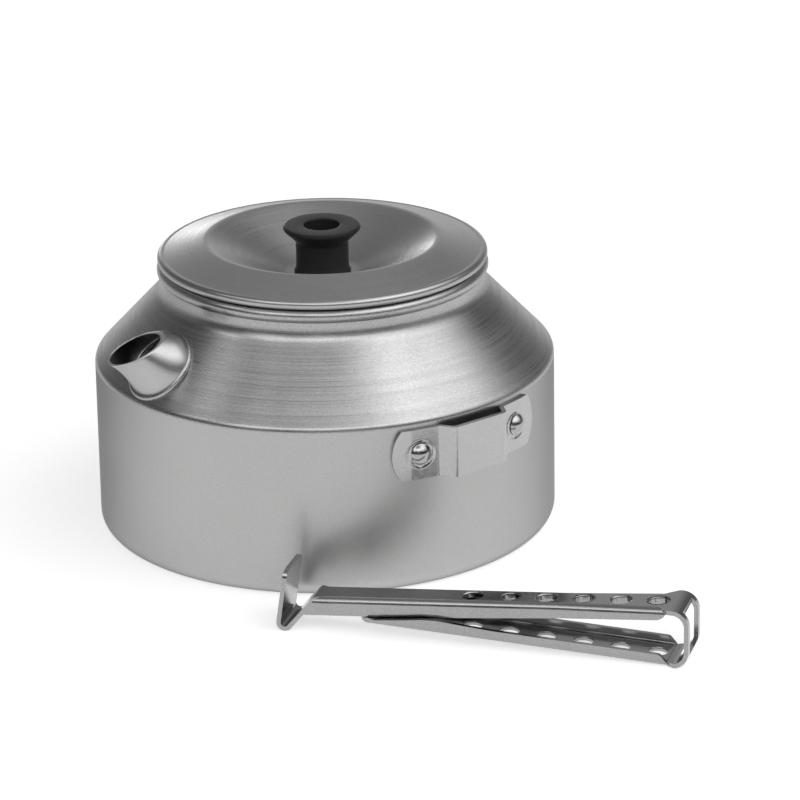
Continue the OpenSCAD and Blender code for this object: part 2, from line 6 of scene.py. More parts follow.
import logging
import math
from dataclasses import dataclass, field
from enum import Enum
from typing import Iterable, Sequence

import bmesh
import bpy
from mathutils import Matrix, Vector

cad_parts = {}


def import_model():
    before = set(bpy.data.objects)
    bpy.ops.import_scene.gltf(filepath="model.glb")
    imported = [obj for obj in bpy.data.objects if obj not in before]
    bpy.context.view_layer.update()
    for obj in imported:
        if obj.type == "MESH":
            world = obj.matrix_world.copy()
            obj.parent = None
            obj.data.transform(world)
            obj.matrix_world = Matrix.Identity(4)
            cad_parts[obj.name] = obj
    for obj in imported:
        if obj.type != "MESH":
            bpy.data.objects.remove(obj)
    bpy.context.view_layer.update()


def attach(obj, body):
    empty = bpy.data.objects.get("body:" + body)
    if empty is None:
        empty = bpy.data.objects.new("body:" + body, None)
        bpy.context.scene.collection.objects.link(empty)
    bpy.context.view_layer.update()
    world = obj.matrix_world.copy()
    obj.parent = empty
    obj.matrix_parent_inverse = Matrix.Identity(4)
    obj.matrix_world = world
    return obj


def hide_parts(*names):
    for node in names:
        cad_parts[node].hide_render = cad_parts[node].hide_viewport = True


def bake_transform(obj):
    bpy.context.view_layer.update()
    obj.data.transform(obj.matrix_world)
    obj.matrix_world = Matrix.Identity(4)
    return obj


LOG = logging.getLogger("kettle")
MM = 0.001
MICROMETRE = 1e-6
WHITE = (1.0, 1.0, 1.0, 1.0)
# Edges that turn by more degrees than this are shaded sharp
SHARP = 38.0
# Parts of a noise's range that are stretched to the full range of a tone or a roughness
MIDDLE = (0.3, 0.7)
WIDE_MIDDLE = (0.25, 0.75)
# Shares of a finish's tone in its darkest and lightest stains, and of its grey in the blue channel
STAIN_TONES = (0.965, 1.03)
BLUE_SHARE = 0.995
# Roughness that a full scuff adds
SCUFF_ROUGHNESS = 0.12
Pair = tuple[float, float]
Loop = list[Pair]
Socket = bpy.types.NodeSocket
Thing = bpy.types.Object


class Body(Enum):
    """CAD bodies that a piece can ride on."""

    KETTLE = "kettle"
    LID = "lid"
    GRIPPER = "gripper"
    GRIPPER_LOWER = "gripper_lower"


class Slot(Enum):
    """Material slots of the record."""

    SPUN = "spun_aluminium"
    PRESSED = "pressed_aluminium"
    LID = "lid_aluminium"
    BRACKET = "bracket_metal"
    RIVET = "rivet_metal"
    PLASTIC = "black_plastic"
    SCREW = "screw_steel"
    GRIPPER = "gripper_steel"


# Sections and meshes


def polar(centre: Pair, radius: float, angle: float) -> Pair:
    """Point on a circle.

    Args:
        centre: Centre of the circle.
        radius: Its radius.
        angle: Angle in degrees.

    Returns:
        The point.
    """
    turn = math.radians(angle)
    return centre[0] + radius * math.cos(turn), centre[1] + radius * math.sin(turn)


def arc(centre: Pair, radius: float, start: float, end: float, step: float = 7.5) -> Loop:
    """Points of an arc.

    Args:
        centre: Centre of the arc.
        radius: Its radius.
        start: First angle in degrees.
        end: Last angle in degrees.
        step: Largest angle between two points.

    Returns:
        The points, both ends included.
    """
    count = max(2, math.ceil(abs(end - start) / step))
    return [polar(centre, radius, start + (end - start) * i / count) for i in range(count + 1)]


def subdivided(points: Sequence[Pair], longest: float) -> Loop:
    """Adds points to the long straight stretches of a path.

    Args:
        points: The path.
        longest: Longest stretch that stays whole.

    Returns:
        The path with the added points.
    """
    made: Loop = [points[0]]
    for a, b in zip(points, points[1:]):
        count = max(1, math.ceil(math.dist(a, b) / longest))
        made += [(a[0] + (b[0] - a[0]) * i / count, a[1] + (b[1] - a[1]) * i / count)
                 for i in range(1, count + 1)]
    return made


@dataclass(frozen=True)
class BentSheet:
    """Section of a bent sheet along a path.

    Attributes:
        corners: Sharp corners of the sheet's middle line.
        bends: Middle radius of the bend at each corner; the two ends have none.
        thickness: The sheet's thickness.
    """

    corners: Sequence[Pair]
    bends: Sequence[float]
    thickness: float

    def _direction(self, i: int) -> Vector:
        """Unit vector along the straight stretch after corner i."""
        return (Vector(self.corners[i + 1]) - Vector(self.corners[i])).normalized()

    def face(self, side: float) -> Loop:
        """One face of the sheet.

        Args:
            side: How far the face lies to the left of the middle line.

        Returns:
            The face's points from the path's start to its end.
        """
        points: Loop = []
        last = len(self.corners) - 1
        for i, corner in enumerate(self.corners):
            if i in (0, last):
                d = self._direction(min(i, last - 1))
                points.append((corner[0] - d.y * side, corner[1] + d.x * side))
                continue
            a, b = self._direction(i - 1), self._direction(i)
            turn = math.degrees(math.atan2(a.x * b.y - a.y * b.x, a.dot(b)))
            sign = math.copysign(1.0, turn)
            out = Vector((a.y, -a.x)) * sign
            reach = self.bends[i] * math.tan(math.radians(abs(turn)) / 2)
            centre = Vector(corner) - a * reach - out * self.bends[i]
            start = math.degrees(math.atan2(out.y, out.x))
            points += arc((centre.x, centre.y), self.bends[i] - sign * side, start, start + turn)
        return points

    def loop(self, longest: float, round_start: bool = False, round_end: bool = True) -> Loop:
        """The section's outline.

        Args:
            longest: Longest straight stretch between two points.
            round_start: Whether the sheet's first edge is rounded.
            round_end: Whether its last edge is rounded.

        Returns:
            The outline, right face first; the last point isn't the first one again.
        """
        half = self.thickness / 2
        right, left = self.face(-half), self.face(half)[::-1]
        tip = self._edge(len(self.corners) - 1, half) if round_end else []
        root = self._edge(0, half) if round_start else []
        if tip:
            right, left = self._shortened(right, -1, half), self._shortened(left, 0, half)
        if root:
            right, left = self._shortened(right, 0, half), self._shortened(left, -1, half)
        return subdivided(right, longest) + tip + subdivided(left, longest) + root

    @staticmethod
    def _shortened(points: Loop, end: int, cut: float) -> Loop:
        """Takes a piece off one end of a path.

        Args:
            points: The path.
            end: 0 for its first point, -1 for its last one.
            cut: Length that is taken off.

        Returns:
            The shorter path.
        """
        other = 1 if end == 0 else -2
        d = (Vector(points[other]) - Vector(points[end])).normalized()
        moved = Vector(points[end]) + d * min(cut, math.dist(points[other], points[end]) * 0.9)
        points = list(points)
        points[end] = (moved.x, moved.y)
        return points

    def _edge(self, i: int, half: float) -> Loop:
        """Rounds the sheet's edge.

        Args:
            i: Number of the corner at that edge.
            half: Half of the sheet's thickness.

        Returns:
            Points of the half circle, without its ends.
        """
        d = self._direction(min(i, len(self.corners) - 2)) * (1 if i else -1)
        centre = Vector(self.corners[i]) - d * half
        heading = math.degrees(math.atan2(d.y, d.x))
        return arc((centre.x, centre.y), half, heading - 90, heading + 90, 22.5)[1:-1]


def mesh_object(name: str, points: Iterable[Sequence[float]], faces: Iterable[Sequence[int]],
                sharp: float = SHARP) -> Thing:
    """Makes a smooth-shaded mesh object.

    Args:
        name: The object's name.
        points: Vertices in millimetres.
        faces: Vertex numbers of each face.
        sharp: Edges that turn by more degrees than this are shaded sharp.

    Returns:
        The object, linked to the scene.
    """
    mesh = bpy.data.meshes.new(name)
    mesh.from_pydata([tuple(c * MM for c in p) for p in points], [], [tuple(f) for f in faces])
    work = bmesh.new()
    work.from_mesh(mesh)
    bmesh.ops.remove_doubles(work, verts=work.verts, dist=1e-7)
    bmesh.ops.recalc_face_normals(work, faces=work.faces)
    work.to_mesh(mesh)
    work.free()
    mesh.polygons.foreach_set("use_smooth", [True] * len(mesh.polygons))
    mesh.set_sharp_from_angle(angle=math.radians(sharp))
    thing = bpy.data.objects.new(name, mesh)
    bpy.context.scene.collection.objects.link(thing)
    return thing


def lathe(name: str, outline: Sequence[Pair], segments: int, place: Matrix | None = None,
          sharp: float = SHARP) -> Thing:
    """Turns an outline about the Z axis.

    Args:
        name: The object's name.
        outline: Closed outline as radius and height, in millimetres.
        segments: Steps round the axis.
        place: Where the turned shape goes, in millimetres.
        sharp: Edges that turn by more degrees than this are shaded sharp.

    Returns:
        The object.
    """
    place = place or Matrix.Identity(4)
    points, faces, count = [], [], len(outline)
    for k in range(segments):
        turn = 2 * math.pi * k / segments
        points += [place @ Vector((r * math.cos(turn), r * math.sin(turn), z)) for r, z in outline]
    for k in range(segments):
        here, there = k * count, (k + 1) % segments * count
        for i in range(count):
            j = (i + 1) % count
            if outline[i][0] < 1e-6 and outline[j][0] < 1e-6:
                continue
            faces.append((here + i, there + i, there + j, here + j))
    return mesh_object(name, points, faces, sharp)


def tube_grid(name: str, rings: Sequence[Sequence[Vector]], closed: bool, sharp: float = SHARP) -> Thing:
    """Joins rings of points into a tube.

    Args:
        name: The object's name.
        rings: Rings of equal length, in millimetres.
        closed: Whether the last ring joins the first one.
        sharp: Edges that turn by more degrees than this are shaded sharp.

    Returns:
        The object.
    """
    width = len(rings[0])
    faces = []
    for i in range(len(rings) if closed else len(rings) - 1):
        a, b = i * width, (i + 1) % len(rings) * width
        faces += [(a + k, a + (k + 1) % width, b + (k + 1) % width, b + k) for k in range(width)]
    if not closed:
        faces += [tuple(range(width)), tuple(range((len(rings) - 1) * width, len(rings) * width))]
    return mesh_object(name, [p for ring in rings for p in ring], faces, sharp)


def turned(angle: float, axis: str) -> Matrix:
    """Rotation by an angle in degrees about a named axis."""
    return Matrix.Rotation(math.radians(angle), 4, axis)


def applied(thing: Thing) -> Thing:
    """Applies an object's modifiers to its mesh.

    Args:
        thing: The object.

    Returns:
        The same object, without modifiers.
    """
    graph = bpy.context.evaluated_depsgraph_get()
    made = bpy.data.meshes.new_from_object(thing.evaluated_get(graph))
    thing.modifiers.clear()
    thing.data = made
    return thing


def joined(name: str, things: Sequence[Thing]) -> Thing:
    """Puts several meshes into one object.

    Args:
        name: Name of the object that stays.
        things: The objects, of which the first one stays.

    Returns:
        The joined object.
    """
    with bpy.context.temp_override(active_object=things[0], selected_editable_objects=list(things)):
        bpy.ops.object.join()
    things[0].name = name
    return things[0]


# Shader groups


class Tree:
    """Short way to fill a node tree."""

    def __init__(self, tree: bpy.types.NodeTree) -> None:
        """Wraps a tree.

        Args:
            tree: The node tree to fill.
        """
        self.tree = tree

    def add(self, kind: str, values: dict | None = None, **settings: object) -> bpy.types.Node:
        """Adds a node.

        Args:
            kind: The node's type, without the leading ShaderNode.
            values: Values or output sockets for its inputs, by name or number.
            **settings: Properties to set on the node.

        Returns:
            The node.
        """
        node = self.tree.nodes.new(kind if kind.startswith("Node") else "ShaderNode" + kind)
        for key, value in settings.items():
            setattr(node, key, value)
        for key, value in (values or {}).items():
            if isinstance(value, Socket):
                self.tree.links.new(value, node.inputs[key])
            else:
                node.inputs[key].default_value = value
        return node

    def math(self, operation: str, *values: float | Socket) -> Socket:
        """Adds a math node.

        Args:
            operation: The node's operation.
            *values: Numbers or sockets for its inputs.

        Returns:
            Its output.
        """
        return self.add("Math", dict(enumerate(values)), operation=operation).outputs[0]

    def ranged(self, value: Socket, low: float, high: float, to_low: float, to_high: float) -> Socket:
        """Maps a value from one range to another, smoothly and held at the ends.

        Args:
            value: The socket that is mapped.
            low: Start of its range.
            high: End of its range.
            to_low: Result at the start.
            to_high: Result at the end.

        Returns:
            The mapped value.
        """
        return self.add("MapRange", {0: value, 1: low, 2: high, 3: to_low, 4: to_high},
                        interpolation_type="SMOOTHSTEP").outputs[0]

    def noise(self, vector: Socket, scale: float | Socket, detail: float, rough: float) -> Socket:
        """Adds a noise texture.

        Args:
            vector: Socket with its coordinates.
            scale: Scale of the noise.
            detail: Number of finer layers.
            rough: Strength of the finer layers.

        Returns:
            The noise's value.
        """
        return self.add("TexNoise", {"Vector": vector, "Scale": scale, "Detail": detail,
                                     "Roughness": rough}).outputs["Fac"]


def emptied(owner: bpy.types.Material | bpy.types.World) -> Tree:
    """Starts the node tree of a material or a world afresh.

    Args:
        owner: The material or the world.

    Returns:
        Its empty tree.
    """
    owner.use_nodes = True
    owner.node_tree.nodes.clear()
    return Tree(owner.node_tree)


class EffectGroup:
    """A shader node group with named inputs and outputs; it is built once and shared."""

    name = ""
    inputs: dict[str, float] = {}
    outputs: tuple[str, ...] = ()

    @classmethod
    def get(cls) -> bpy.types.NodeTree:
        """The group's tree, made at the first call.

        Returns:
            The tree.
        """
        found = bpy.data.node_groups.get(cls.name)
        if found:
            return found
        tree = bpy.data.node_groups.new(cls.name, "ShaderNodeTree")
        for label, value in cls.inputs.items():
            socket = tree.interface.new_socket(label, in_out="INPUT", socket_type="NodeSocketFloat")
            socket.default_value = value
        for label in cls.outputs:
            tree.interface.new_socket(label, in_out="OUTPUT", socket_type="NodeSocketFloat")
        shader = Tree(tree)
        source = shader.add("NodeGroupInput")
        made = cls.build(shader, source)
        sink = shader.add("NodeGroupOutput")
        for label, socket in made.items():
            tree.links.new(socket, sink.inputs[label])
        return tree

    @classmethod
    def build(cls, t: Tree, source: bpy.types.Node) -> dict[str, Socket]:
        """Fills the group.

        Args:
            t: The group's tree.
            source: Its input node.

        Returns:
            The socket behind each output.
        """
        raise NotImplementedError


class SpunRings(EffectGroup):
    """Fine rings that spinning and turning leave round the Z axis."""

    name = "Spun rings"
    inputs = {"Fine": 2600.0, "Coarse": 420.0, "Break-up": 0.6}
    outputs = ("Fine lines", "Bands")
    offset = (0.0, 0.0, 3.7)

    @classmethod
    def build(cls, t: Tree, source: bpy.types.Node) -> dict[str, Socket]:
        """Fills the group: noise in radius and height that changes slowly round the axis.

        Args:
            t: The group's tree.
            source: Its input node.

        Returns:
            The socket behind each output.
        """
        xyz = t.add("SeparateXYZ", {0: t.add("TexCoord").outputs["Object"]})
        x, y, z = xyz.outputs
        radius = t.math("SQRT", t.math("ADD", t.math("POWER", x, 2.0), t.math("POWER", y, 2.0)))
        slow = t.add("CombineXYZ", {0: t.math("DIVIDE", x, radius), 1: t.math("DIVIDE", y, radius)})
        made = {}
        for label, scale, detail in (("Fine lines", "Fine", 3.0), ("Bands", "Coarse", 2.0)):
            size = source.outputs[scale]
            along = t.add("CombineXYZ", {0: t.math("MULTIPLY", radius, size), 1: t.math("MULTIPLY", z, size)})
            spread = t.add("VectorMath", {0: slow.outputs[0], "Scale": source.outputs["Break-up"]},
                           operation="SCALE")
            where = t.add("VectorMath", {0: along.outputs[0], 1: spread.outputs[0]}, operation="ADD")
            lifted = t.add("VectorMath", {0: where.outputs[0], 1: cls.offset}, operation="ADD")
            made[label] = t.noise(lifted.outputs[0], 1.0, detail, 0.6)
        return made


class MetalGrain(EffectGroup):
    """Even grain of a blasted or tumbled metal face, with large soft stains."""

    name = "Metal grain"
    inputs = {"Scale": 3200.0}
    outputs = ("Grain", "Stains")
    stain_scale = 28.0

    @classmethod
    def build(cls, t: Tree, source: bpy.types.Node) -> dict[str, Socket]:
        """Fills the group.

        Args:
            t: The group's tree.
            source: Its input node.

        Returns:
            The socket behind each output.
        """
        where = t.add("TexCoord").outputs["Object"]
        return {"Grain": t.noise(where, source.outputs["Scale"], 2.0, 0.6),
                "Stains": t.noise(where, cls.stain_scale, 4.0, 0.55)}


class RolledLines(EffectGroup):
    """Long faint lines along a strip, at an angle about +Z."""

    name = "Rolled lines"
    inputs = {"Heading": 0.0, "Density": 2200.0, "Length": 40.0}
    outputs = ("Lines",)

    @classmethod
    def build(cls, t: Tree, source: bpy.types.Node) -> dict[str, Socket]:
        """Fills the group: noise stretched along the heading.

        Args:
            t: The group's tree.
            source: Its input node.

        Returns:
            The socket behind each output.
        """
        turn = t.add("CombineXYZ", {2: t.math("MULTIPLY", source.outputs["Heading"], -1.0)})
        where = t.add("TexCoord").outputs["Object"]
        laid = t.add("VectorRotate", {"Vector": where, "Rotation": turn.outputs[0]},
                     rotation_type="EULER_XYZ")
        density = source.outputs["Density"]
        stretch = t.add("CombineXYZ", {0: source.outputs["Length"], 1: density, 2: density})
        where = t.add("VectorMath", {0: laid.outputs[0], 1: stretch.outputs[0]}, operation="MULTIPLY")
        return {"Lines": t.noise(where.outputs[0], 1.0, 3.0, 0.6)}


class Handling(EffectGroup):
    """Small scattered scuffs and dull finger marks."""

    name = "Handling marks"
    inputs = {"Amount": 0.3}
    outputs = ("Scuffs",)
    mark_scale = 160.0
    mark_range = (0.58, 0.72)

    @classmethod
    def build(cls, t: Tree, source: bpy.types.Node) -> dict[str, Socket]:
        """Fills the group.

        Args:
            t: The group's tree.
            source: Its input node.

        Returns:
            The socket behind each output.
        """
        where = t.add("TexCoord").outputs["Object"]
        marks = t.ranged(t.noise(where, cls.mark_scale, 6.0, 0.7), *cls.mark_range, 0.0, 1.0)
        return {"Scuffs": t.math("MULTIPLY", marks, source.outputs["Amount"])}


@dataclass(frozen=True)
class Finish:
    """One surface finish.

    Attributes:
        slot: The record's material slot.
        tone: Grey value of the surface.
        roughness: Middle roughness.
        metallic: 1 for metal, 0 for plastic.
        anisotropy: Stretch of the highlight.
        grain: Depth of the grain's relief, in micrometres.
        grain_scale: Fineness of the grain.
        grain_tone: How much the grain changes the grey value.
        rings: Depth of the spinning rings' relief, in micrometres; 0 leaves them out.
        ring_tone: How much the rings change the grey value.
        lines: Depth of the rolled lines' relief, in micrometres; 0 leaves them out.
        heading: Direction of the rolled lines in degrees.
        spread: How much the roughness varies.
        scuffs: Amount of handling marks.
        specular: Level of the plastic's mirror reflection.
        rim: Share of the metal's mirror reflection that is left at grazing angles.
        variant: Word that tells apart two finishes of one slot.
    """

    slot: Slot
    tone: float
    roughness: float
    metallic: float = 1.0
    anisotropy: float = 0.0
    grain: float = 4.0
    grain_scale: float = 3200.0
    grain_tone: float = 0.08
    rings: float = 0.0
    ring_tone: float = 0.0
    lines: float = 0.0
    heading: float = 0.0
    spread: float = 0.06
    scuffs: float = 0.2
    specular: float = 0.5
    rim: float = 1.0
    variant: str = "plain"

    def _relief(self, t: Tree, lines: Socket, depth: float, rough: Socket,
                height: Socket) -> tuple[Socket, Socket]:
        """Adds lines to the roughness and the relief.

        Args:
            t: The material's tree.
            lines: Mask of the lines.
            depth: Their depth in micrometres.
            rough: Roughness so far.
            height: Relief so far.

        Returns:
            Roughness and relief with the lines.
        """
        rough = t.math("ADD", rough, t.ranged(lines, *WIDE_MIDDLE, -self.spread, self.spread))
        return rough, t.math("ADD", height, t.math("MULTIPLY", lines, depth))

    def material(self) -> bpy.types.Material:
        """The finish as a material, made at the first call.

        Returns:
            The material.
        """
        name = f"{self.slot.value}_{self.variant}"
        found = bpy.data.materials.get(name)
        if found:
            return found
        material = bpy.data.materials.new(name)
        t = emptied(material)
        grain = t.add("Group", node_tree=MetalGrain.get())
        grain.inputs["Scale"].default_value = self.grain_scale
        marks = t.add("Group", node_tree=Handling.get())
        marks.inputs["Amount"].default_value = self.scuffs
        tone = t.ranged(grain.outputs["Stains"], *MIDDLE, *(self.tone * share for share in STAIN_TONES))
        speck = t.ranged(grain.outputs["Grain"], *MIDDLE, 1.0 - self.grain_tone, 1.0 + self.grain_tone)
        tone = t.math("MULTIPLY", tone, speck)
        rough = t.ranged(grain.outputs["Stains"], *WIDE_MIDDLE, self.roughness - self.spread / 2,
                         self.roughness + self.spread / 2)
        height = t.math("MULTIPLY", grain.outputs["Grain"], self.grain)
        if self.rings:
            rings = t.add("Group", node_tree=SpunRings.get())
            bands = t.ranged(rings.outputs["Bands"], *MIDDLE, 1.0 - self.ring_tone, 1.0)
            fine = t.ranged(rings.outputs["Fine lines"], *WIDE_MIDDLE, 1.0 - self.ring_tone, 1.0)
            tone = t.math("MULTIPLY", tone, t.math("MULTIPLY", bands, fine))
            rough, height = self._relief(t, rings.outputs["Fine lines"], self.rings, rough, height)
        if self.lines:
            rolled = t.add("Group", node_tree=RolledLines.get())
            rolled.inputs["Heading"].default_value = math.radians(self.heading)
            rough, height = self._relief(t, rolled.outputs["Lines"], self.lines, rough, height)
        rough = t.math("ADD", rough, t.math("MULTIPLY", marks.outputs["Scuffs"], SCUFF_ROUGHNESS))
        bump = t.add("Bump", {"Height": height, "Distance": MICROMETRE, "Strength": 1.0})
        colour = t.add("CombineColor", {0: tone, 1: tone, 2: t.math("MULTIPLY", tone, BLUE_SHARE)})
        shader = t.add("BsdfPrincipled", {"Base Color": colour.outputs[0], "Metallic": self.metallic,
                                          "Roughness": rough, "Normal": bump.outputs[0],
                                          "Anisotropic": self.anisotropy,
                                          "Specular IOR Level": self.specular,
                                          "Specular Tint": (self.rim,) * 3 + (1.0,),
                                          "Anisotropic Rotation": 0.25})
        if self.anisotropy:
            tangent = t.add("Tangent", direction_type="RADIAL", axis="Z")
            t.tree.links.new(tangent.outputs[0], shader.inputs["Tangent"])
        t.add("OutputMaterial", {"Surface": shader.outputs[0]})
        return material


@dataclass
class SubAssembly:
    """What every sub-assembly shares: its body and its finished pieces.

    Attributes:
        body: CAD body that the pieces ride on.
        pieces: The pieces that have been built.
    """

    body: Body = Body.KETTLE
    pieces: list[Thing] = field(default_factory=list)

    def finished(self, thing: Thing, finish: Finish) -> Thing:
        """Gives a piece its finish and notes it.

        Args:
            thing: The piece.
            finish: Its finish.

        Returns:
            The piece.
        """
        thing.data.materials.clear()
        thing.data.materials.append(finish.material())
        self.pieces.append(thing)
        return thing

    def keep(self, thing: Thing, finish: Finish, *nodes: str) -> Thing:
        """Gives a piece its finish and its body.

        Args:
            thing: The piece.
            finish: Its finish.
            *nodes: CAD nodes that it stands for.

        Returns:
            The piece.
        """
        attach(thing, self.body.value)
        if nodes:
            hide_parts(*nodes)
        return self.finished(thing, finish)

    def dress_node(self, name: str, finish: Finish) -> None:
        """Gives a CAD node that is shown as it is its finish.

        Args:
            name: The node.
            finish: Its finish.
        """
        self.finished(bpy.data.objects[name], finish)


# The kettle


def rounded_corners(centre: Pair, radius: float, start: float, end: float, count: int) -> Loop:
    """Corners whose bends make one round stretch about a centre.

    Args:
        centre: The centre.
        radius: Radius of the stretch.
        start: First angle in degrees.
        end: Last angle in degrees.
        count: Number of corners.

    Returns:
        The corners.
    """
    part = (end - start) / count
    out = radius / math.cos(math.radians(part / 2))
    return [polar(centre, out, start + part * (i + 0.5)) for i in range(count)]


@dataclass
class Vessel(SubAssembly):
    """Spun kettle body: base, wall, shoulder, cone, neck and rolled rim, with the spout's bead.

    Attributes:
        wall_r: Outer radius of the wall.
        shoulder_h: Height at which the wall's and the cone's outer faces would meet.
        cone_angle: Slope of the cone in degrees.
        neck_r: Outer radius of the neck.
        neck_len: Height of the middle of the rim's roll above the cone's upper end.
        sheet_t: The sheet's thickness.
        base_bend: Outer radius between base and wall.
        shoulder_bend: Outer radius between wall and cone.
        neck_bend: Outer radius between cone and neck.
        rim_roll: Outer radius of the rim's roll.
        rim_in: How far the roll's middle lies inside the neck's middle line.
        rim_lead: Radius with which the neck turns into the roll.
        roll_span: First and last angle of the roll, in degrees.
        spout_az: Heading of the spout in degrees.
        spout_up: Distance of the spout's collar up the cone.
        collar_r: Radius of the collar bead's middle.
        collar_bead: Radius of the bead itself.
        collar_sink: How far the bead's middle lies under the cone's face.
        pour_hole_r: Radius of the hole under the spout.
        finish_drop: How far below the shoulder the cone's finish starts.
    """

    wall_r: float = 80.2
    shoulder_h: float = 60.35
    cone_angle: float = 46.7
    neck_r: float = 56.6
    neck_len: float = 6.6
    sheet_t: float = 1.2
    base_bend: float = 5.0
    shoulder_bend: float = 3.0
    neck_bend: float = 7.0
    rim_roll: float = 2.3
    rim_in: float = 0.7
    rim_lead: float = 1.0
    roll_span: Pair = (-40.0, 225.0)
    spout_az: float = 217.0
    spout_up: float = 14.5
    collar_r: float = 12.3
    collar_bead: float = 1.1
    collar_sink: float = 0.1
    pour_hole_r: float = 10.4
    finish_drop: float = 1.2

    def cone_z(self, radius: float) -> float:
        """Height of the cone's outer face.

        Args:
            radius: Distance from the axis.

        Returns:
            The height.
        """
        return self.shoulder_h + (self.wall_r - radius) * math.tan(math.radians(self.cone_angle))

    @property
    def rim_z(self) -> float:
        """Height of the middle of the rim's roll."""
        return self.cone_z(self.neck_r) + self.neck_len

    @property
    def rim_r(self) -> float:
        """Radius of the middle of the rim's roll."""
        return self.neck_r - self.sheet_t / 2 - self.rim_in

    @property
    def collar_axis_r(self) -> float:
        """Distance of the collar's centre from the kettle's axis."""
        return self.wall_r - self.spout_up * math.cos(math.radians(self.cone_angle))

    @property
    def collar_place(self) -> Matrix:
        """Frame of the spout's collar, with +Z along the cone's normal."""
        centre = Matrix.Translation((self.collar_axis_r, 0, self.cone_z(self.collar_axis_r)))
        return turned(self.spout_az, "Z") @ centre @ turned(self.cone_angle, "Y")

    def outline(self) -> Loop:
        """The shell's section.

        Returns:
            Its outline as radius and height, from the base's middle to the end of the rim's roll and back.
        """
        half = self.sheet_t / 2
        wall, neck, roll = self.wall_r - half, self.neck_r - half, self.rim_roll - half
        lift = half / math.cos(math.radians(self.cone_angle))
        rim, start, end = (self.rim_r, self.rim_z), *self.roll_span
        first = polar(rim, roll, start)
        lead = first[1] - (first[0] - neck) * math.tan(math.radians(90 + start))
        corners = [(0, half), (wall, half), (wall, self.cone_z(wall) - lift),
                   (neck, self.cone_z(neck) - lift), (neck, lead), *rounded_corners(rim, roll, start, end, 3),
                   polar(rim, roll, end)]
        bends = [0, self.base_bend - half, self.shoulder_bend - half, self.neck_bend + half, self.rim_lead,
                 roll, roll, roll, 0]
        return BentSheet(corners, bends, self.sheet_t).loop(1.5)

    def build(self, finish: Finish, upper: Finish) -> None:
        """Builds the shell with its pour hole and the spout's bead.

        Args:
            finish: Finish of the base and the wall.
            upper: Finish of the cone and the neck.
        """
        shell = lathe("kettle_shell", self.outline(), 360)
        reach, hole = 6.0, self.pour_hole_r
        bore = [(0, -reach), (hole, -reach), (hole, reach), (0, reach)]
        drill = lathe("pour_drill", bore, 64, self.collar_place)
        cut = shell.modifiers.new("hole", "BOOLEAN")
        cut.object, cut.operation, cut.solver = drill, "DIFFERENCE", "EXACT"
        bpy.context.view_layer.update()
        applied(shell)
        bpy.data.objects.remove(drill)
        shell.data.set_sharp_from_angle(angle=math.radians(SHARP))
        ring = arc((self.collar_r, -self.collar_sink), self.collar_bead, 0, 360, 12)[:-1]
        bead = lathe("spout_bead", ring, 144, self.collar_place)
        whole = self.keep(joined("kettle_shell", [shell, bead]), finish, "kettle_body")
        whole.data.materials.append(upper.material())
        edge = (self.shoulder_h - self.finish_drop) * MM
        for face in whole.data.polygons:
            face.material_index = int(face.center.z > edge)


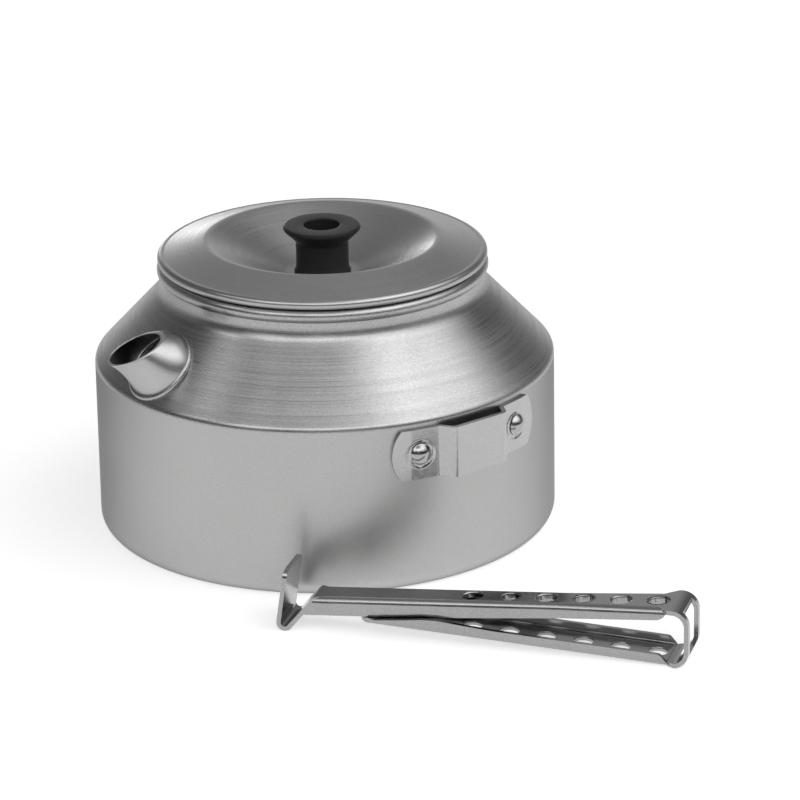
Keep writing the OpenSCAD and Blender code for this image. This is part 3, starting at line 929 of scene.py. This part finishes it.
@dataclass
class Spout(SubAssembly):
    """Flared spout with a slanted mouth.

    Attributes:
        vessel: The kettle body that carries it.
        lift: Angle of its axis above the horizontal, in degrees.
        foot_r: Outer radius that the flare starts from.
        tip_r: Outer radius that it comes down to.
        flare_len: Length over which it narrows.
        flare_lead: How far its narrowing starts before the axis leaves the cone.
        flare_power: How suddenly it narrows.
        sheet_t: The sheet's thickness.
        shift: How far its base point lies outside the collar's centre, both ways.
        mouth_out: Distance of the mouth's middle outside the collar's centre.
        mouth_rise: Its height above the collar's centre.
        mouth_fall: Slope of the mouth in degrees.
        lip_round: Radius of the mouth's edge.
        foot_lift: Height of its outer face's lower end above the collar's plane.
        foot_drop: Depth of its inner face's lower end under that plane.
    """

    vessel: Vessel = field(default_factory=Vessel)
    lift: float = 31.5
    foot_r: float = 12.6
    tip_r: float = 5.85
    flare_len: float = 11.3
    flare_lead: float = 1.0
    flare_power: float = 1.6
    sheet_t: float = 0.8
    shift: float = 0.3
    mouth_out: float = 10.0
    mouth_rise: float = 8.6
    mouth_fall: float = 17.1
    lip_round: float = 0.35
    foot_lift: float = 0.15
    foot_drop: float = 1.5

    def radius(self, s: float) -> float:
        """Outer radius at a distance along the spout's axis.

        Args:
            s: The distance.

        Returns:
            The radius.
        """
        along = max(s + self.flare_lead, 0.0) / self.flare_len
        return self.tip_r + (self.foot_r - self.tip_r) * math.exp(-(along ** self.flare_power))

    def build(self, finish: Finish) -> None:
        """Builds the horn as rings round its axis, from foot to lip and back inside.

        Args:
            finish: The spout's finish.
        """
        rho, collar = self.vessel.collar_axis_r, self.vessel.collar_place
        height, turn = self.vessel.cone_z(rho), turned(self.vessel.spout_az, "Z")
        collar_o, collar_n = collar.translation, collar.col[2].to_3d()
        start = Matrix.Translation((rho + self.shift, 0, height + self.shift))
        place = turn @ start @ turned(90 - self.lift, "Y")
        mouth_o = turn @ Vector((rho + self.mouth_out, 0, height + self.mouth_rise))
        fall = math.radians(self.mouth_fall)
        mouth_n = turn @ Vector((math.sin(fall), 0, math.cos(fall)))

        def point(s: float, angle: float, inset: float) -> Vector:
            """Point of the horn.

            Args:
                s: Distance along its axis.
                angle: Angle about the axis.
                inset: Depth under its outer face.

            Returns:
                The point.
            """
            r = self.radius(s) - inset
            return place @ Vector((r * math.cos(angle), r * math.sin(angle), s))

        def meet(angle: float, inset: float, origin: Vector, normal: Vector, level: float) -> float:
            """Finds where a line along the horn meets a plane.

            Args:
                angle: The line's angle about the axis.
                inset: Its depth under the outer face.
                origin: Point of the plane.
                normal: The plane's normal.
                level: How far the plane is moved along its normal.

            Returns:
                The distance along the axis.
            """
            low, high = -12.0, 40.0
            for _ in range(40):
                middle = (low + high) / 2
                if (point(middle, angle, inset) - origin).dot(normal) < level:
                    low = middle
                else:
                    high = middle
            return (low + high) / 2

        steps, rows, t, lip = 144, 40, self.sheet_t, self.lip_round
        angles = [2 * math.pi * k / steps for k in range(steps)]
        rings: list[list[Vector]] = []
        spans = {inset: [(meet(a, inset, collar_o, collar_n, foot), meet(a, inset, mouth_o, mouth_n, -lip))
                         for a in angles] for inset, foot in ((0.0, self.foot_lift), (t, -self.foot_drop))}
        for i in range(rows + 1):
            rings.append([point(foot + (tip - foot) * i / rows, a, 0.0)
                          for a, (foot, tip) in zip(angles, spans[0.0])])
        for i in range(1, 6):
            a, b = math.radians(30 * i), math.radians(30 * (i - 3))
            rise = -lip + lip * (math.sin(a) if i <= 3 else math.cos(b))
            inset = lip * (1 - math.cos(a)) if i <= 3 else t - lip * (1 - math.sin(b))
            rings.append([point(meet(a, inset, mouth_o, mouth_n, rise), a, inset) for a in angles])
        for i in range(rows + 1):
            rings.append([point(tip + (foot - tip) * i / rows, a, t)
                          for a, (foot, tip) in zip(angles, spans[t])])
        self.keep(tube_grid("spout_horn", rings, True, 60.0), finish, "spout")


@dataclass
class Bracket(SubAssembly):
    """Hat-section strap on the wall with its two rivets.

    Attributes:
        wall_r: Radius of the wall that it sits on.
        azimuth: Its heading in degrees.
        middle_z: Height of its middle.
        height: Height of the strap.
        sheet_t: The strap's thickness.
        edge_round: Width of its softened edges.
        plate_half: Half width of the raised plate.
        slot_gap: Gap between the wall and the plate.
        seat: Gap between the wall and the ears.
        ear_tip: Distance of the ears' tips from the middle.
        ear_end_r: Radius of the ears' round ends.
        step_angle: Angle about the axis, in degrees, at which the ears start.
        step_lead: Angle from there to the ears' first corner.
        ear_reach: Angle at which the ears' middle line ends, past their tips.
        bend: Radius of the strap's four bends.
        plate_draft: How much narrower the plate's middle line is than the plate.
        rivet_angle: Angle of the rivets from the middle, in degrees.
        head_r: Radius of the rivets' heads.
        head_h: Height of the heads.
        back_r: Radius of the flat heads inside the wall.
        back_span: Depth under the wall's outer face at which these start and end.
        ring_r: Radius of the pressed rings round the rivets.
        ring_depth: Depth of the rings.
        ring_width: Half width of the rings.
    """

    wall_r: float = 80.2
    azimuth: float = -52.5
    middle_z: float = 49.3
    height: float = 17.8
    sheet_t: float = 1.5
    edge_round: float = 0.22
    plate_half: float = 11.25
    slot_gap: float = 3.8
    seat: float = 0.05
    ear_tip: float = 30.4
    ear_end_r: float = 14.0
    step_angle: float = 9.6
    step_lead: float = 0.95
    ear_reach: float = 24.0
    bend: float = 2.2
    plate_draft: float = 0.35
    rivet_angle: float = 14.9
    head_r: float = 3.75
    head_h: float = 2.2
    back_r: float = 4.2
    back_span: Pair = (1.4, 2.7)
    ring_r: float = 4.4
    ring_depth: float = 0.35
    ring_width: float = 0.42

    def path(self) -> BentSheet:
        """The strap seen from above, with +X outward.

        Returns:
            Its section.
        """
        middle = self.wall_r + self.sheet_t / 2
        ear, plate = middle + self.seat, middle + self.slot_gap
        start, end = self.step_angle, self.ear_reach
        half = [(plate, self.plate_half - self.plate_draft), polar((0, 0), ear, start),
                *rounded_corners((0, 0), ear, start + self.step_lead, end, 1), polar((0, 0), ear, end)]
        corners = [(x, -y) for x, y in reversed(half)] + half
        return BentSheet(corners, [0, ear, *[self.bend] * 4, ear, 0], self.sheet_t)

    def build(self, finish: Finish) -> None:
        """Builds the strap as a fine grid on both faces, with pressed rings round the rivets.

        Args:
            finish: The strap's finish.
        """
        sheet = self.path()
        columns = self._columns(sheet)
        rows = 44
        turn = turned(self.azimuth, "Z")
        rivet_y = self.wall_r * math.sin(math.radians(self.rivet_angle))
        points, faces = [], []
        straight = self.ear_tip - self.ear_end_r
        for side in (1, -1):
            for (x, y), (nx, ny) in columns:
                over = max(0.0, abs(y) - straight)
                half = min(self.height / 2, math.sqrt(max(self.ear_end_r ** 2 - over ** 2, 0.04)))
                for j in range(rows + 1):
                    even = half >= self.height / 2
                    z = half * (2 * j / rows - 1) if even else -half * math.cos(math.pi * j / rows)
                    gap = math.hypot(abs(y) - rivet_y, z) - self.ring_r
                    sink = self.ring_depth * math.exp(-((gap / self.ring_width) ** 2)) if side > 0 else 0.0
                    off = side * self.sheet_t / 2 - sink
                    points.append(turn @ Vector((x + nx * off, y + ny * off, self.middle_z + z)))
        width, layer = rows + 1, len(columns) * (rows + 1)
        for i in range(len(columns) - 1):
            for j in range(rows):
                a = i * width + j
                faces += [(a, a + 1, a + width + 1, a + width),
                          (layer + a, layer + a + width, layer + a + width + 1, layer + a + 1)]
        rim = [i * width for i in range(len(columns))]
        rim += [layer - width + j for j in range(1, rows + 1)]
        rim += [i * width + rows for i in range(len(columns) - 2, -1, -1)]
        rim += range(rows - 1, 0, -1)
        faces += [(a, b, b + layer, a + layer) for a, b in zip(rim, rim[1:] + rim[:1])]
        strap = mesh_object("bracket_strap", points, faces)
        soft = strap.modifiers.new("edge", "BEVEL")
        soft.width, soft.segments = self.edge_round * MM, 2
        soft.limit_method, soft.angle_limit = "ANGLE", math.radians(60)
        bpy.context.view_layer.update()
        applied(strap)
        self.keep(strap, finish, "handle_bracket")

    def _columns(self, sheet: BentSheet) -> list[tuple[Pair, Pair]]:
        """Follows the middle line out to the ears' tips.

        Args:
            sheet: The strap's section.

        Returns:
            Places along it, each with its outward normal.
        """
        line = subdivided(sheet.face(0.0), 0.4)
        line = [p for p in line if abs(p[1]) < self.ear_tip - 0.01]
        made = []
        for i, p in enumerate(line):
            a, b = Vector(line[max(i - 1, 0)]), Vector(line[min(i + 1, len(line) - 1)])
            d = (b - a).normalized()
            made.append((p, (d.y, -d.x)))
        return made

    def build_rivets(self, finish: Finish) -> None:
        """Builds both rivets: domed head outside, flat head inside.

        Args:
            finish: The rivets' finish.
        """
        base = self.sheet_t + 2 * self.seat
        ball = (self.head_r ** 2 + self.head_h ** 2) / (2 * self.head_h)
        brow, foot, chamfer = 0.12, 0.05, 0.2
        start = math.degrees(math.asin((self.head_r - brow) / ball))
        dome = arc((0, base + self.head_h - ball), ball, 90 - start, 90, 4)
        outline = [(0, base), (self.head_r - foot, base), (self.head_r, base + brow), *dome]
        near, far = self.back_span
        back = [(0, -far), (self.back_r - chamfer, -far), (self.back_r, chamfer - far),
                (self.back_r, -near - 0.15), (self.back_r - chamfer, -near), (0, -near)]
        things = []
        for side in (-1, 1):
            place = (turned(self.azimuth + side * self.rivet_angle, "Z")
                     @ Matrix.Translation((self.wall_r, 0, self.middle_z)) @ turned(90, "Y"))
            things += [lathe("rivet_part", part, 64, place) for part in (outline, back)]
        self.keep(joined("rivet_pair", things), finish, "bracket_rivets")


# The lid


@dataclass
class Lid(SubAssembly):
    """Pressed lid with its moulded knob and the knob's screw, washer and nut.

    Attributes:
        body: CAD body that it rides on.
        vessel: The kettle body under it.
        sheet_t: The sheet's thickness.
        overhang: How far its edge stands out over the neck.
        ridge_r: Radius of the ridge round the dish.
        ridge_rise: Height of the ridge above the seat.
        edge_h: Height of the folded edge.
        brow_in: How far the flat's outer corner lies inside the edge.
        brow_drop: How far that corner lies under the edge's height.
        dish_depth: Depth of the dish under the ridge.
        dish_floor_r: Radius of the dish's floor.
        skirt_len: Length of the skirt that centres it.
        skirt_clear: Gap between the skirt and the rim.
        gap: Gap between the seat and the rim.
        bends: Middle radius of the sheet's bend at each corner.
        knob_h: Height of the knob.
        knob_r: Radius of its stem.
        foot_r: Radius of its foot.
        flange_r: Radius of its flange.
        flange_round: Radius of the flange's edge.
        throat: Radius between the stem and the flange.
        well_r: Radius of the well in its top.
        well_h: Depth of the well.
    """

    body: Body = Body.LID
    vessel: Vessel = field(default_factory=Vessel)
    sheet_t: float = 1.0
    overhang: float = 0.7
    ridge_r: float = 40.3
    ridge_rise: float = 7.4
    edge_h: float = 3.4
    brow_in: float = 1.9
    brow_drop: float = 0.25
    dish_depth: float = 13.0
    dish_floor_r: float = 12.0
    skirt_len: float = 9.5
    skirt_clear: float = 0.7
    gap: float = 0.3
    bends: tuple[float, ...] = (0, 9, 3, 0.6, 1.2, 0.8, 1.2, 0)
    knob_h: float = 17.3
    knob_r: float = 9.15
    foot_r: float = 9.85
    flange_r: float = 13.45
    flange_round: float = 0.9
    throat: float = 1.6
    well_r: float = 6.2
    well_h: float = 8.4

    @property
    def seat_z(self) -> float:
        """Height of the underside of the lid's edge."""
        return self.vessel.rim_z + self.vessel.rim_roll + self.gap

    @property
    def dish_z(self) -> float:
        """Height of the dish's floor."""
        return self.seat_z + self.ridge_rise - self.dish_depth

    def build_cover(self, finish: Finish) -> None:
        """Builds the cover as one bent sheet.

        Args:
            finish: The cover's finish.
        """
        half = self.sheet_t / 2
        seat, floor = self.seat_z + half, self.dish_z - half
        ridge, top = self.seat_z + self.ridge_rise - half, self.seat_z + self.edge_h - half
        edge = self.vessel.neck_r + self.overhang - half
        skirt = self.vessel.rim_r - self.vessel.rim_roll - self.skirt_clear - half
        corners = [(0, floor), (self.dish_floor_r, floor), (self.ridge_r, ridge),
                   (edge - self.brow_in, top - self.brow_drop), (edge, top), (edge, seat), (skirt, seat),
                   (skirt, seat - self.skirt_len)]
        outline = BentSheet(corners, self.bends, self.sheet_t).loop(3.0)
        self.keep(lathe("lid_dish", outline, 300), finish, "lid_cover")

    def build_knob(self, finish: Finish) -> None:
        """Builds the spool knob with its well.

        Args:
            finish: The knob's finish.
        """
        top, edge, hollow = self.knob_h, self.flange_round, self.throat
        flange = (self.flange_r - edge, top - edge)
        low = polar(flange, edge, -45)
        neck = low[1] - (low[0] - self.knob_r)
        throat = (self.knob_r + hollow, neck - hollow * math.tan(math.radians(22.5)))
        floor = top - self.well_h
        seat, chamfer, foot, brim, bowl = 0.05, 0.1, 0.3, 0.5, 0.4
        stem_low, stem_high = 2.0, 4.0
        outline = [(0.0, seat), (self.foot_r - chamfer, seat), (self.foot_r, seat + chamfer),
                   (self.foot_r, 2 * foot), *arc((self.foot_r - foot, 3 * foot), foot, 0, 60, 20),
                   (self.knob_r + chamfer, stem_low), (self.knob_r, stem_high)]
        outline += arc(throat, hollow, 180, 135, 8) + arc(flange, edge, -45, 90, 12)
        outline += arc((self.well_r + brim, top - brim), brim, 90, 180, 15) + [(self.well_r, floor + bowl)]
        outline += arc((self.well_r - bowl, floor + bowl), bowl, 0, -90, 30)[1:] + [(0.0, floor)]
        place = Matrix.Translation((0, 0, self.dish_z))
        self.keep(lathe("spool_knob", outline, 128, place, 50.0), finish, "lid_knob")

    def dress_hardware(self, finish: Finish) -> None:
        """Dresses the screw, washer and nut, which are shown as packed.

        Args:
            finish: Their finish.
        """
        for name in ("knob_screw", "knob_washer", "knob_nut"):
            self.dress_node(name, finish)


# The gripper


@dataclass
class Gripper(SubAssembly):
    """Loose pot gripper: one bent strip with two packed arms and a bow, which on the real gripper bends when
    the arms are squeezed; here it stays as packed.

    Attributes:
        body: CAD body of the upper arm.
        bow_span: Heights between which the bow bends; not used.
    """

    body: Body = Body.GRIPPER
    bow_span: Pair = (18.5, 3.0)

    def dress(self, finish: Finish) -> None:
        """Dresses the arms.

        Args:
            finish: The strip's finish.
        """
        for name in ("gripper_upper_arm", "gripper_lower_arm"):
            self.dress_node(name, finish)

    def build(self, finish: Finish) -> None:
        """Builds the bow, which bends from the upper arm to the lower one.

        Args:
            finish: The strip's finish.
        """
        node = "gripper_spring_bow"
        bow = bpy.data.objects.new("gripper_bow", bpy.data.objects[node].data.copy())
        bpy.context.scene.collection.objects.link(bow)
        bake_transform(bow)
        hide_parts(node)
        self.finished(bow, finish)


# Studio


@dataclass(frozen=True)
class SoftBox:
    """One area lamp.

    Attributes:
        name: The lamp's name.
        place: Where it stands, in metres.
        aim: Where it points, in metres.
        size: Width and height in metres.
        power: Its power in watts.
    """

    name: str
    place: tuple[float, float, float]
    aim: tuple[float, float, float]
    size: Pair
    power: float

    def build(self) -> Thing:
        """Makes the lamp.

        Returns:
            The lamp.
        """
        data = bpy.data.lights.new(self.name, "AREA")
        data.shape, data.energy = "RECTANGLE", self.power
        data.size, data.size_y = self.size
        lamp = bpy.data.objects.new(self.name, data)
        lamp.location = self.place
        lamp.rotation_mode = "QUATERNION"
        lamp.rotation_quaternion = (Vector(self.aim) - Vector(self.place)).to_track_quat("-Z", "Y")
        bpy.context.scene.collection.objects.link(lamp)
        return lamp


@dataclass(frozen=True)
class Glow:
    """A soft bright patch of the surroundings.

    Attributes:
        heading: Direction towards its middle.
        inner: Angle from the middle, in degrees, at which it starts to fade.
        outer: Angle at which it has faded.
        strength: Radiance that it adds.
    """

    heading: tuple[float, float, float]
    inner: float
    outer: float
    strength: float

    def build(self, t: Tree, aim: Socket) -> Socket:
        """Adds the patch to the surroundings' tree.

        Args:
            t: The tree.
            aim: Socket with the direction that is looked up.

        Returns:
            The radiance that the patch adds.
        """
        along = t.add("VectorMath", {0: aim, 1: Vector(self.heading).normalized()}, operation="DOT_PRODUCT")
        near, far = (math.cos(math.radians(a)) for a in (self.inner, self.outer))
        return t.ranged(along.outputs["Value"], far, near, 0.0, self.strength)


@dataclass
class Studio:
    """Pale floor, soft light, white surroundings and the camera.

    Attributes:
        floor_tone: Grey value of the floor.
        floor_glow: Light that the floor gives off.
        floor_lift: Light that it gives off only to the camera and to mirror rays.
        back_shade: Part of its light that mirror rays get well behind the object.
        back_heading: Direction in which the floor gets darker for them.
        back_span: Distances along it, in metres, between which it does.
        mirror_gain: How much more of the surroundings' light mirror rays get, which makes their
            horizon white too.
        horizon: Radiance of the surroundings low down.
        zenith: Their radiance high up.
        climb: Heights between which it changes, as parts of a unit direction.
        side_shade: Part of it that is left at the sides.
        side_span: Parts of a unit direction to the side between which it changes.
        front_shade: Part of it that is left in front.
        front_span: Parts of a unit direction to the back between which it changes.
        glows: Bright patches.
        boxes: Lamps.
        eye: Where the camera stands, in metres.
        lens: The camera's focal length in millimetres.
    """

    floor_tone: float = 0.86
    floor_glow: float = 0.26
    floor_lift: float = 0.32
    back_shade: float = 0.3
    back_heading: tuple[float, float, float] = (-0.3, 0.95, 0.0)
    back_span: Pair = (-0.04, 0.21)
    mirror_gain: float = 1.43
    horizon: float = 0.56
    zenith: float = 0.28
    climb: Pair = (0.05, 0.5)
    side_shade: float = 0.3
    side_span: Pair = (0.1, 0.6)
    front_shade: float = 0.26
    front_span: Pair = (-0.3, 0.3)
    glows: tuple[Glow, ...] = (
        Glow((0.0, -0.72, 0.69), 6, 22, 0.9),
        Glow((-0.5, -0.58, 0.64), 7, 20, 1.1),
        Glow((0.5, -0.56, 0.66), 8, 24, 0.7),
        Glow((0.62, -0.1, 0.77), 8, 42, 0.88),
        Glow((0.0, -0.45, 0.89), 12, 45, 0.14),
        Glow((-0.5, -0.42, 0.76), 8, 40, 0.16),
        Glow((-0.72, -0.14, 0.68), 4, 12, 1.0),
        Glow((-0.19, 0.98, 0.03), 2, 9, 2.0),
    )
    boxes: tuple[SoftBox, ...] = (
        SoftBox("right_box", (0.97, -0.18, 1.26), (0, 0, 0.05), (0.9, 0.9), 1.5),
        SoftBox("front_box", (0.2, -1.1, 1.0), (0, 0, 0.05), (1.1, 0.5), 1.0),
    )
    eye: tuple[float, float, float] = (0, -1.48094, 0.5953)
    lens: float = 202.5

    def build(self) -> None:
        """Makes the floor, the lamps and the surroundings."""
        bpy.context.scene.view_settings.view_transform = "Standard"
        bpy.ops.mesh.primitive_plane_add(size=14.0, location=(0, 0, 0))
        floor = bpy.context.object
        floor.name = "studio_floor"
        material = bpy.data.materials.new("studio_floor")
        t = emptied(material)
        path, mirrored = self._rays(t)
        seen = t.math("MAXIMUM", path.outputs["Is Camera Ray"], mirrored)
        place = t.add("NewGeometry").outputs["Position"]
        behind = t.add("VectorMath", {0: place, 1: self.back_heading}, operation="DOT_PRODUCT")
        shade = t.ranged(behind.outputs["Value"], *self.back_span, 0.0, 1.0 - self.back_shade)
        dimmed = t.math("MULTIPLY", mirrored, shade)
        lift = t.math("ADD", t.math("MULTIPLY", seen, self.floor_lift), self.floor_glow)
        lift = t.math("MULTIPLY", lift, t.math("SUBTRACT", 1.0, dimmed))
        shader = t.add("BsdfPrincipled", {"Base Color": (self.floor_tone,) * 3 + (1.0,), "Roughness": 0.9,
                                          "Emission Color": WHITE, "Emission Strength": lift})
        t.add("OutputMaterial", {"Surface": shader.outputs[0]})
        floor.data.materials.append(material)
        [box.build() for box in self.boxes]
        self._surroundings()

    @staticmethod
    def _rays(t: Tree) -> tuple[bpy.types.Node, Socket]:
        """Tells the kinds of rays apart.

        Args:
            t: The tree.

        Returns:
            The Light Path node and a mask of the mirror rays.
        """
        path = t.add("LightPath")
        return path, t.math("MAXIMUM", path.outputs["Is Glossy Ray"], path.outputs["Is Transmission Ray"])

    def _surroundings(self) -> None:
        """White to the camera, softer grey with bright patches to everything else."""
        world = bpy.data.worlds.new("studio")
        bpy.context.scene.world = world
        t = emptied(world)
        aim = t.add("TexCoord").outputs["Generated"]
        parts = t.add("SeparateXYZ", {0: aim})
        up = t.ranged(parts.outputs[2], *self.climb, self.horizon, self.zenith)
        aside = t.ranged(t.math("ABSOLUTE", parts.outputs[0]), *self.side_span, 1.0, self.side_shade)
        ahead = t.ranged(parts.outputs[1], *self.front_span, self.front_shade, 1.0)
        total = t.math("MULTIPLY", t.math("MULTIPLY", up, aside), ahead)
        for glow in self.glows:
            total = t.math("ADD", total, glow.build(t, aim))
        path, mirrored = self._rays(t)
        total = t.math("MULTIPLY", total, t.ranged(mirrored, 0.0, 1.0, 1.0, self.mirror_gain))
        light = t.add("Background", {0: WHITE, 1: total})
        seen = t.add("Background", {0: WHITE, 1: 1.0})
        mixed = t.add("MixShader", {0: path.outputs["Is Camera Ray"], 1: light.outputs[0],
                                    2: seen.outputs[0]})
        t.add("OutputWorld", {0: mixed.outputs[0]})

    def camera(self) -> None:
        """Places the camera that was fitted to the photo's circles."""
        right = Vector((0.99958364, -0.02373344, -0.01640953))
        up = Vector((0.02368786, 0.35026055, 0.93635273))
        forward = Vector((0.01647526, 0.93635157, -0.35067691))
        data = bpy.data.cameras.new("camera")
        data.lens, data.sensor_width = self.lens, 36.0
        data.clip_end = 30.0
        thing = bpy.data.objects.new("camera", data)
        turn = Matrix((right, up, -forward)).transposed().to_4x4()
        thing.matrix_world = Matrix.Translation(self.eye) @ turn
        bpy.context.scene.collection.objects.link(thing)
        bpy.context.scene.camera = thing


def main() -> None:
    """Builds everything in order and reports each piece."""
    logging.basicConfig(level=logging.INFO, format="%(name)s: %(message)s")
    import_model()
    wall = Finish(Slot.SPUN, 0.445, 0.34, grain=3.2, rim=0.48)
    spun = Finish(Slot.SPUN, 0.46, 0.3, anisotropy=0.3, grain=7.0, grain_tone=0.22, rings=2.6, ring_tone=0.1,
                  spread=0.08, variant="rings")
    pressed = Finish(Slot.PRESSED, 0.44, 0.32, grain=2.4)
    lid = Finish(Slot.LID, 0.44, 0.32, anisotropy=0.1, grain=3.6, grain_tone=0.1, rings=0.6, ring_tone=0.02)
    strap = Finish(Slot.BRACKET, 0.44, 0.22, grain=0.8, lines=0.4, heading=37.5)
    rivet = Finish(Slot.RIVET, 0.39, 0.16, grain=0.4)
    plastic = Finish(Slot.PLASTIC, 0.028, 0.33, metallic=0.0, grain=3.0, grain_scale=1500.0, spread=0.08,
                     specular=0.1)
    plated = Finish(Slot.SCREW, 0.36, 0.25, grain=0.5)
    steel = Finish(Slot.GRIPPER, 0.345, 0.18, grain=2.6, grain_tone=0.16, lines=0.8, heading=-17.0)
    vessel = Vessel()
    vessel.build(wall, spun)
    spout = Spout(vessel=vessel)
    spout.build(pressed)
    bracket = Bracket()
    bracket.build(strap)
    bracket.build_rivets(rivet)
    cover = Lid(vessel=vessel)
    cover.build_cover(lid)
    cover.build_knob(plastic)
    cover.dress_hardware(plated)
    gripper = Gripper()
    gripper.dress(steel)
    gripper.build(steel)
    for assembly in (vessel, spout, bracket, cover, gripper):
        for piece in assembly.pieces:
            LOG.info("%s: %s, %s", type(assembly).__name__, piece.name, piece.data.materials[0].name)
    studio = Studio()
    studio.build()
    studio.camera()


if __name__ == "__main__":
    main()
